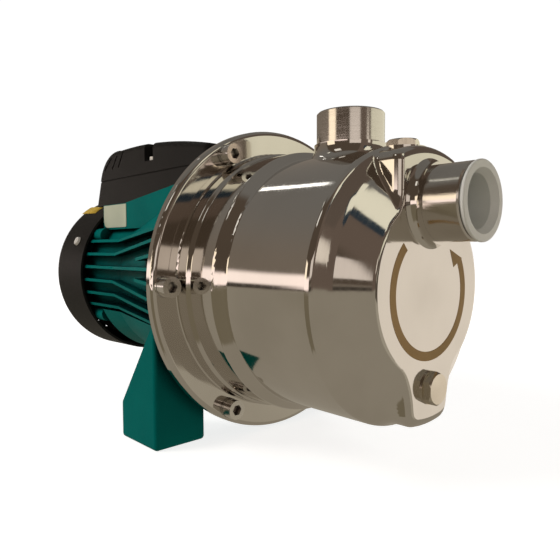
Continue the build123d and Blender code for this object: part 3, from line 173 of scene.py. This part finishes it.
polishedLook = {
    "color": (0.66, 0.625, 0.58),
    "darker": (0.60, 0.565, 0.52),
    "cloud": 18.0,
    "brush": 60.0,
    "brushScale": (14.0, 1.0, 1.0),
    "rough": 0.045,
    "roughSpread": 0.05,
    "ripple": 26.0,
    "rippleDepth": 0.00021,
    "brushDepth": 0.000004,
}
polished = metal("polished_stainless", polishedLook)
turnedSteel = metal(
    "turned_stainless",
    {
        **polishedLook,
        "rough": 0.10,
        "roughSpread": 0.10,
        "brushScale": (1.0, 1.0, 30.0),
        "brushDepth": 0.00002,
    },
)
plugMetal = metal(
    "plug_steel",
    {
        **polishedLook,
        "color": (0.68, 0.62, 0.52),
        "darker": (0.58, 0.52, 0.43),
        "rough": 0.13,
        "roughSpread": 0.12,
    },
)
zinc = metal(
    "zinc_steel",
    {
        **polishedLook,
        "color": (0.78, 0.75, 0.71),
        "darker": (0.62, 0.59, 0.55),
        "rough": 0.12,
        "roughSpread": 0.14,
        "brush": 90.0,
        # painted shade: the zinc darkens to the corner colour where faces meet, as in screw sockets and
        # under heads
        "cornerReach": 0.0035,
        "corner": (0.05, 0.04, 0.035),
    },
)
brightZinc = metal(
    "bright_zinc",
    {
        **polishedLook,
        "color": (0.86, 0.85, 0.82),
        "darker": (0.7, 0.68, 0.64),
        "rough": 0.32,
        # painted shade: the screw heads darken to the corner colour where faces meet, as in their
        # sockets
        "cornerReach": 0.0025,
        "corner": (0.08, 0.075, 0.07),
        "metallic": 0.35,
    },
)
brass = metal(
    "cast_brass",
    {**polishedLook, "color": (0.62, 0.44, 0.18), "darker": (0.5, 0.34, 0.13), "rough": 0.3},
)
copper = metal(
    "winding_copper",
    {**polishedLook, "color": (0.5, 0.2, 0.08), "darker": (0.4, 0.14, 0.05), "rough": 0.35},
)
laminate = metal(
    "core_steel",
    {
        **polishedLook,
        "color": (0.3, 0.3, 0.31),
        "darker": (0.2, 0.2, 0.21),
        "rough": 0.4,
        "brushScale": (60.0, 1.0, 1.0),
    },
)

paintLook = {
    "color": (0.0, 0.155, 0.143),
    "darker": (0.0, 0.134, 0.126),
    "cloud": 25.0,
    "grain": 900.0,
    "grainDepth": 0.00006,
    "rough": 0.45,
    "roughSpread": 0.14,
    "Specular IOR Level": 0.03,
    # painted shade: the teal darkens to the corner colour where faces meet, between the fins and at
    # joins
    "cornerReach": 0.016,
    "corner": (0.0, 0.012, 0.014),
}
tealPaint = coating("teal_paint", paintLook)
plasticLook = {
    "color": (0.009, 0.0085, 0.0081),
    "darker": (0.0065, 0.0061, 0.0058),
    "cloud": 30.0,
    "grain": 1600.0,
    "grainDepth": 0.00005,
    "rough": 0.46,
    "roughSpread": 0.14,
    "Specular IOR Level": 0.22,
}
blackPlastic = coating("black_plastic", plasticLook)
rubber = coating("black_rubber", {**plasticLook, "rough": 0.6, "grain": 700.0})
wetPlastic = coating(
    "filled_plastic",
    {**plasticLook, "color": (0.05, 0.05, 0.05), "darker": (0.04, 0.04, 0.04)},
)
greyPlug = coating(
    "grey_plug",
    {
        **plasticLook,
        "color": (0.78, 0.80, 0.78),
        "darker": (0.71, 0.73, 0.71),
        "rough": 0.28,
        "grainDepth": 0.00003,
        "Specular IOR Level": 0.5,
        "Coat Weight": 0.3,
        "Coat Roughness": 0.12,
        # painted shade: the plug darkens to the corner colour where faces meet, inside its cup and at
        # the rim
        "cornerReach": 0.012,
        "corner": (0.10, 0.105, 0.10),
    },
)
ratingPlate = coating(
    "bare_plate",
    {
        **plasticLook,
        "color": (0.50, 0.55, 0.42),
        "darker": (0.43, 0.48, 0.37),
        "rough": 0.32,
        "grainDepth": 0.00002,
        "Specular IOR Level": 0.5,
    },
)
palePlastic = coating(
    "pale_plastic",
    {**plasticLook, "color": (0.7, 0.7, 0.66), "darker": (0.64, 0.64, 0.6)},
)
ceramic = coating(
    "ceramic",
    {**plasticLook, "color": (0.85, 0.82, 0.75), "darker": (0.8, 0.77, 0.7), "rough": 0.15},
)
carbon = coating(
    "carbon",
    {**plasticLook, "color": (0.04, 0.04, 0.04), "darker": (0.03, 0.03, 0.03), "rough": 0.3},
)
arrowInk = coating(
    "arrow_ink",
    {**plasticLook, "color": (0.47, 0.31, 0.14), "darker": (0.40, 0.26, 0.11), "rough": 0.5},
)
yellowLabel = coating(
    "yellow_label",
    {**plasticLook, "color": (0.62, 0.42, 0.06), "darker": (0.55, 0.38, 0.06), "rough": 0.4},
)

finishes = {
    polished: "pump_body seal_plate",
    turnedSteel: "outlet_port suction_port shaft impeller_key",
    plugMetal: "filler_plug filler_washer drain_plug drain_washer",
    brightZinc: "cover_screws lid_screws",
    zinc: "flange_screws flange_washers end_shield_screws fan_clip wave_washer impeller_nut"
    " box_screws front_bearing_outer_race front_bearing_inner_race front_bearing_balls"
    " rear_bearing_outer_race rear_bearing_inner_race rear_bearing_balls",
    tealPaint: "motor_frame end_shield",
    blackPlastic: "fan_cover fan terminal_box_base terminal_box_lid gland_body gland_cap gland_locknut",
    rubber: "winding_leads slinger body_o_ring venturi_o_ring ejector_o_ring"
    " seal_seat_boot seal_bellows terminal_box_gasket gland_seal",
    greyPlug: "suction_plug",
    laminate: "stator_core rotor_core",
    copper: "stator_windings",
    brass: "impeller",
    ceramic: "seal_seat",
    carbon: "seal_ring",
    wetPlastic: "diffuser venturi_tube ejector_housing ejector_nozzle",
    palePlastic: "terminal_block capacitor",
    ratingPlate: "rating_plate",
}
dressed = set()
for finish, names in finishes.items():
    for name in names.split():
        for place in cad[name].material_slots:
            place.material = finish
        dressed.add(name)
print("materials on", len(dressed), "nodes, left over:", sorted(set(cad) - dressed))

# pieces


def meshPiece(name, verts, faces, material, body, smooth=True):
    mesh = bpy.data.meshes.new(name)
    mesh.from_pydata([tuple(v) for v in verts], [], faces)
    piece = bpy.data.objects.new(name, mesh)
    scene.collection.objects.link(piece)
    bm = bmesh.new()
    bm.from_mesh(mesh)
    bmesh.ops.recalc_face_normals(bm, faces=bm.faces)
    bm.to_mesh(mesh)
    bm.free()
    for polygon in mesh.polygons:
        polygon.use_smooth = smooth
    mesh.materials.append(material)
    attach(piece, body)
    return piece


def strip(inner, outer, lift):
    # closed strip between two rows of points and the same rows moved by lift
    count = len(inner)
    rows = [inner, outer, [p + lift for p in outer], [p + lift for p in inner]]
    verts = [p for row in rows for p in row]
    faces = []
    for i in range(count - 1):
        for k in range(4):
            a, b = k * count, (k + 1) % 4 * count
            faces.append((a + i, a + i + 1, b + i + 1, b + i))
    faces.append((0, count, 2 * count, 3 * count))
    faces.append((count - 1, 4 * count - 1, 3 * count - 1, 2 * count - 1))
    return verts, faces


arrow = {
    "inner": 0.0312,
    "outer": 0.0362,
    "centre": (-0.0005, -0.0022),  # across and above the shaft
    "startAngle": 29.0,  # degrees from +Y, at the arrow head
    "endAngle": -226.5,
    "thick": 0.00012,
    "steps": 96,
    "barbInner": 0.0267,
    "barbOuter": 0.0368,
    "tipRadius": 0.0299,
    "tipAngle": 50.0,
}


def onNose(radius, angle):
    turn = math.radians(angle)
    across, above = arrow["centre"]
    return Vector(
        (noseFace, across + radius * math.cos(turn), shaftHeight + above + radius * math.sin(turn))
    )


arrowLift = Vector((arrow["thick"], 0, 0))
sweep = arrow["endAngle"] - arrow["startAngle"]
angles = [arrow["startAngle"] + sweep * i / arrow["steps"] for i in range(arrow["steps"] + 1)]
arcVerts, arcFaces = strip(
    [onNose(arrow["inner"], a) for a in angles],
    [onNose(arrow["outer"], a) for a in angles],
    arrowLift,
)
meshPiece("rotation_arrow_arc", arcVerts, arcFaces, arrowInk, "pump", False)
corners = [
    onNose(arrow["barbInner"], arrow["startAngle"]),
    onNose(arrow["barbOuter"], arrow["startAngle"]),
    onNose(arrow["tipRadius"], arrow["tipAngle"]),
]
headVerts = corners + [c + arrowLift for c in corners]
headFaces = [(0, 1, 2), (3, 4, 5), (0, 1, 4, 3), (1, 2, 5, 4), (2, 0, 3, 5)]
meshPiece("rotation_arrow_head", headVerts, headFaces, arrowInk, "pump", False)

label = {
    "lowAngle": 50.0,
    "highAngle": 59.0,
    "rear": -0.172,
    "front": -0.146,
    "gap": 0.00002,
    "thick": 0.0003,
    "steps": 8,
    "rearRadius": 0.0685,  # of the cover below it, at the cover's rear and front ends
    "frontRadius": 0.0675,
}


def onCover(x, angle, lift):
    low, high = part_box("fan_cover")
    length = high[0] - low[0]
    flare = label["rearRadius"] - label["frontRadius"]
    radius = label["frontRadius"] + flare * (high[0] - x) / length + lift
    turn = math.radians(angle)
    return Vector((x, -radius * math.cos(turn), shaftHeight + radius * math.sin(turn)))


labelVerts, labelFaces = [], []
for lift in (label["gap"], label["thick"]):
    for x in (label["rear"], label["front"]):
        for i in range(label["steps"] + 1):
            turn = label["lowAngle"] + (label["highAngle"] - label["lowAngle"]) * i / label["steps"]
            labelVerts.append(onCover(x, turn, lift))
row = label["steps"] + 1
for i in range(label["steps"]):
    labelFaces.append((i, i + 1, row + i + 1, row + i))
    labelFaces.append((2 * row + i, 2 * row + i + 1, 3 * row + i + 1, 3 * row + i))
    labelFaces.append((i, i + 1, 2 * row + i + 1, 2 * row + i))
    labelFaces.append((row + i, row + i + 1, 3 * row + i + 1, 3 * row + i))
labelFaces.append((0, row, 3 * row, 2 * row))
labelFaces.append((row - 1, 2 * row - 1, 4 * row - 1, 3 * row - 1))
meshPiece("cover_label", labelVerts, labelFaces, yellowLabel, "pump")

thread = {
    "bore": 0.01515,
    "sunk": 0.00005,  # how far the thread's foot reaches into the bore's wall
    "depth": 0.0008,
    "pitch": 0.00231,
    "footWidth": 0.42,  # half widths of foot and crest, as shares of the pitch
    "crestWidth": 0.06,
    "rimDepth": 0.002,
    "firstTurn": 0.5,
    "length": 0.022,
    "stepsPerTurn": 48,
    "fadeSteps": 12,
}
portLow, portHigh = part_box("outlet_port")
portX = (portLow[0] + portHigh[0]) / 2
threadTop = portHigh[2] - thread["rimDepth"]
turns = thread["length"] / thread["pitch"]
count = int(turns * thread["stepsPerTurn"])
foot = thread["bore"] + thread["sunk"]
crest = thread["bore"] - thread["depth"]
profile = (
    (foot, thread["footWidth"]),
    (crest, thread["crestWidth"]),
    (crest, -thread["crestWidth"]),
    (foot, -thread["footWidth"]),
)
threadVerts, threadFaces = [], []
for i in range(count + 1):
    turn = 2 * math.pi * i / thread["stepsPerTurn"]
    level = threadTop - thread["pitch"] * (i / thread["stepsPerTurn"] + thread["firstTurn"])
    fade = min(1.0, i / thread["fadeSteps"], (count - i) / thread["fadeSteps"])
    for radius, rise in profile:
        r = foot + (radius - foot) * fade
        threadVerts.append(
            Vector((portX + r * math.cos(turn), r * math.sin(turn), level + rise * thread["pitch"]))
        )
for i in range(count):
    for k in range(4):
        a, b = i * 4 + k, i * 4 + (k + 1) % 4
        threadFaces.append((a, b, b + 4, a + 4))
threadFaces.append((0, 1, 2, 3))
last = count * 4
threadFaces.append((last, last + 1, last + 2, last + 3))
meshPiece("outlet_thread", threadVerts, threadFaces, turnedSteel, "pump")
print("pieces made")

# stage: floor and backdrop show only to the camera, the steel reflects the world
stageLook = {
    "floorColor": (0.5, 0.5, 0.495),
    "roughness": 0.9,
    "floorGlow": 0.80,  # near the pump, where the shadow shows
    "farGlow": 1.02,
    "nearEdge": 0.35,
    "farEdge": 1.3,
    "size": 6.0,
    "floorSides": 96,
    "domeSegments": 48,
    "domeRings": 24,
}


def stageMaterial(name, color, near, far):
    # glows from near to far strength as the distance from the pump grows
    made, g = newMaterial(name)
    place = g.node("ShaderNodeTexCoord").outputs["Object"]
    distance = g.node("ShaderNodeVectorMath", {0: place}, operation="LENGTH").outputs["Value"]
    glow = g.step(distance, stageLook["nearEdge"], stageLook["farEdge"], near, far)
    finishMaterial(
        g,
        {"Emission Strength": glow},
        **{
            "Base Color": rgba(color),
            "Roughness": stageLook["roughness"],
            "Emission Color": rgba((1.0, 1.0, 1.0)),
        },
    )
    return made


bpy.ops.mesh.primitive_circle_add(
    vertices=stageLook["floorSides"], radius=stageLook["size"], fill_type="NGON"
)
floor = bpy.context.object
floor.name = "floor"
floor.data.materials.append(
    stageMaterial("floor_pale", stageLook["floorColor"], stageLook["floorGlow"], stageLook["farGlow"])
)
bpy.ops.mesh.primitive_uv_sphere_add(
    segments=stageLook["domeSegments"], ring_count=stageLook["domeRings"], radius=stageLook["size"]
)
backdrop = bpy.context.object
backdrop.name = "backdrop"
backdrop.data.materials.append(
    stageMaterial("backdrop_pale", (0.0, 0.0, 0.0), stageLook["farGlow"], stageLook["farGlow"])
)
for thing in (floor, backdrop):
    thing.visible_glossy = False
    thing.visible_diffuse = False
    thing.visible_transmission = False
    thing.visible_shadow = False

# room that the steel reflects: seamAngle keeps the azimuth's jump away from every card
seamAngle = 70.0
world = bpy.data.worlds.new("room")
scene.world = world
world.use_nodes = True
g = Graph(world.node_tree)
turned = g.node(
    "ShaderNodeMapping",
    {
        "Vector": g.node("ShaderNodeTexCoord").outputs["Generated"],
        "Rotation": (0, 0, math.radians(seamAngle)),
    },
)
dirX, dirY, dirZ = g.node("ShaderNodeSeparateXYZ", {0: turned.outputs[0]}).outputs
azimuth = g.math("ARCTAN2", dirY, dirX)

room = {
    "floor": (0.33, 0.295, 0.235),
    "wall": (0.225, 0.187, 0.15),
    "ceiling": (0.19, 0.18, 0.165),
    "floorEdge": (-0.06, -0.045),  # heights of the direction where one colour fades into the next
    "ceilingEdge": (0.2, 0.8),
    "lowSoft": 0.25,  # softness of a card's low and high edge, as shares of its own
    "highSoft": 0.5,
}
# each card: colour, azimuth in degrees from +X (-250 to 110), height of the direction, softness
cards = {
    "skirting": ((0.06, 0.05, 0.04), (-250.0, 110.0), (-0.045, -0.005), 0.02),
    "brightSill": ((1.5, 1.3, 1.2), (-225.0, -128.0), (0.0, 0.12), 0.06),
    "darkRug": ((0.20, 0.17, 0.115), (-133.0, -60.0), (-0.70, -0.05), 0.10),
    "cabinet": ((0.10, 0.075, 0.055), (-132.0, -14.0), (0.02, 0.90), 0.06),
    "hallway": ((0.16, 0.12, 0.095), (-18.0, 20.0), (-0.05, 0.90), 0.03),
    "lintel": ((0.13, 0.10, 0.08), (14.0, 110.0), (0.28, 0.70), 0.04),
    "sideSill": ((1.6, 1.35, 1.25), (-135.0, -60.0), (-0.03, 0.12), 0.05),
    "window": ((1.7, 1.45, 1.12), (-128.0, -101.0), (0.10, 0.30), 0.03),
    "door": ((0.9, 0.8, 0.72), (-53.0, -18.0), (0.08, 0.29), 0.02),
    "mirrorEdge": ((1.0, 0.9, 0.78), (5.0, 13.0), (0.09, 0.22), 0.02),
    "rearWall": ((0.12, 0.095, 0.08), (20.0, 53.0), (0.02, 0.125), 0.02),
    "curtain": ((0.92, 0.88, 0.70), (20.0, 110.0), (0.125, 0.29), 0.02),
    "frontCurtain": ((0.97, 0.885, 0.775), (49.0, 110.0), (-0.34, 0.13), 0.05),
    "lowShelf": ((0.45, 0.41, 0.33), (20.0, 49.0), (-0.45, -0.11), 0.03),
    "lowShade": ((0.11, 0.09, 0.07), (20.0, 46.0), (-0.11, -0.035), 0.02),
    "paleBoard": ((0.62, 0.57, 0.46), (29.0, 34.0), (-0.035, 0.02), 0.01),
    "blueFrame": ((0.03, 0.045, 0.06), (-4.0, 23.0), (0.49, 0.69), 0.012),
    "roofPane": ((1.04, 1.0, 0.81), (2.0, 30.0), (0.62, 0.78), 0.012),
    "roofPaneLow": ((1.04, 1.0, 0.81), (5.0, 20.0), (0.525, 0.64), 0.012),
    "roofSlit": ((1.1, 1.06, 0.98), (-112.0, -88.0), (0.70, 0.83), 0.03),
    "lampTube": ((3.4, 3.4, 3.3), (-189.5, -186.0), (0.655, 0.745), 0.012),
    "ceilingLine": ((1.5, 1.47, 1.3), (-152.0, -140.0), (0.778, 0.803), 0.01),
}
color = g.mix(g.step(dirZ, *room["ceilingEdge"]), rgba(room["wall"]), rgba(room["ceiling"]))
color = g.mix(g.step(dirZ, *room["floorEdge"]), rgba(room["floor"]), color)
for tint, (azimuthFrom, azimuthTo), (low, high), soft in cards.values():
    a0, a1 = math.radians(azimuthFrom + seamAngle), math.radians(azimuthTo + seamAngle)
    sides = g.math(
        "MULTIPLY",
        g.step(azimuth, a0 - soft, a0 + soft),
        g.step(azimuth, a1 - soft, a1 + soft, 1.0, 0.0),
    )
    lowSoft, highSoft = soft * room["lowSoft"], soft * room["highSoft"]
    rows = g.math(
        "MULTIPLY",
        g.step(dirZ, low - lowSoft, low + lowSoft),
        g.step(dirZ, high - highSoft, high + highSoft, 1.0, 0.0),
    )
    color = g.mix(g.math("MULTIPLY", sides, rows), color, rgba(tint))
shade = g.node("ShaderNodeBackground", {0: color, 1: 1.0})
g.node("ShaderNodeOutputWorld", {0: shade.outputs[0]})

lights = {
    "key": {"place": (-0.9, -1.6, 1.5), "size": 0.9, "power": 26.0, "color": (1.0, 0.97, 0.93)},
    "fill": {"place": (1.6, -1.0, 0.9), "size": 1.2, "power": 3.0, "color": (1.0, 0.96, 0.9)},
    "rim": {"place": (-0.6, 1.6, 1.6), "size": 0.8, "power": 10.0, "color": (0.95, 0.97, 1.0)},
}
target = Vector((0.0, 0.0, shaftHeight))
for name, look in lights.items():
    lamp = bpy.data.lights.new(name, "AREA")
    lamp.shape = "DISK"
    lamp.size = look["size"]
    lamp.energy = look["power"]
    lamp.color = look["color"]
    holder = bpy.data.objects.new(name, lamp)
    scene.collection.objects.link(holder)
    place = Vector(look["place"])
    facing = (place - target).to_track_quat("Z", "Y").to_matrix().to_4x4()
    holder.matrix_world = Matrix.Translation(place) @ facing
    holder.visible_glossy = False
print("stage and lights ready")

camera = {
    "place": (0.31633, -0.26046, 0.12555),
    "yaw": 42.991,
    "pitch": -3.242,
    "roll": -0.24,
    "lens": 35.846,
    "sensor": 36.0,
    "shiftX": 0.0063,
    "shiftY": -0.0033,
    "clipStart": 0.01,
    "clipEnd": 50.0,
}
yaw, pitch, roll = (math.radians(camera[key]) for key in ("yaw", "pitch", "roll"))
forward = Vector(
    (-math.cos(yaw) * math.cos(pitch), math.sin(yaw) * math.cos(pitch), math.sin(pitch))
)
side = forward.cross(Vector((0, 0, 1))).normalized()
above = side.cross(forward)
right = math.cos(roll) * side + math.sin(roll) * above
up = -math.sin(roll) * side + math.cos(roll) * above
lensData = bpy.data.cameras.new("camera")
lensData.sensor_width = camera["sensor"]
lensData.lens = camera["lens"]
lensData.shift_x = camera["shiftX"]
lensData.shift_y = camera["shiftY"]
lensData.clip_start = camera["clipStart"]
lensData.clip_end = camera["clipEnd"]
viewer = bpy.data.objects.new("camera", lensData)
scene.collection.objects.link(viewer)
turn = Matrix((right, up, -forward)).transposed().to_4x4()
viewer.matrix_world = Matrix.Translation(Vector(camera["place"])) @ turn
scene.camera = viewer
scene.view_settings.view_transform = "Standard"
print("camera set")
